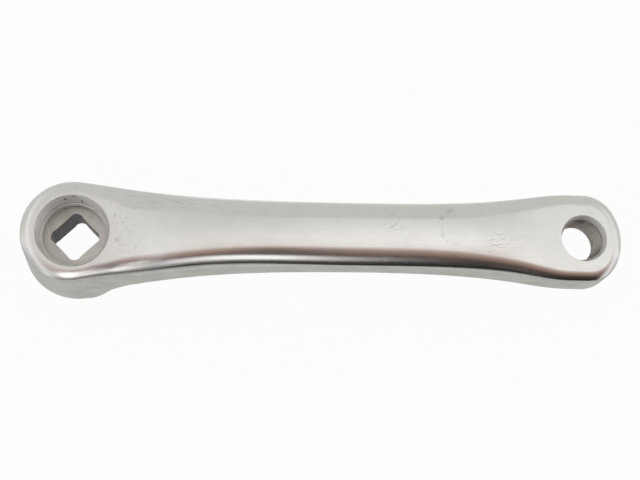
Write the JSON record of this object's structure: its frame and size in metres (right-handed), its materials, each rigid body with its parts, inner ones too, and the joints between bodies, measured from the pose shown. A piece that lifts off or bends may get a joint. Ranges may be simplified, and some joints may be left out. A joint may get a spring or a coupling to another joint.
{
  "type": "bicycle crank arm",
  "caption": "Plain bicycle crank arm: round hub with a square tapered spindle socket and a threaded extractor recess, waisted outward-bowed arm, threaded pedal eye.",
  "frame": {"origin": "on the spindle axis, in the plane of the hub's inner face", "axes": "+X along the arm from the spindle to the pedal, +Z along the spindle axis away from the bicycle"},
  "size_m": [0.2023, 0.0372, 0.0339],
  "materials": {
    "polished_aluminium": "worn polish on the outer side, satin ground side walls"
  },
  "bodies": {
    "root": {"crank_arm": "polished_aluminium"}
  },
  "joints": []
}
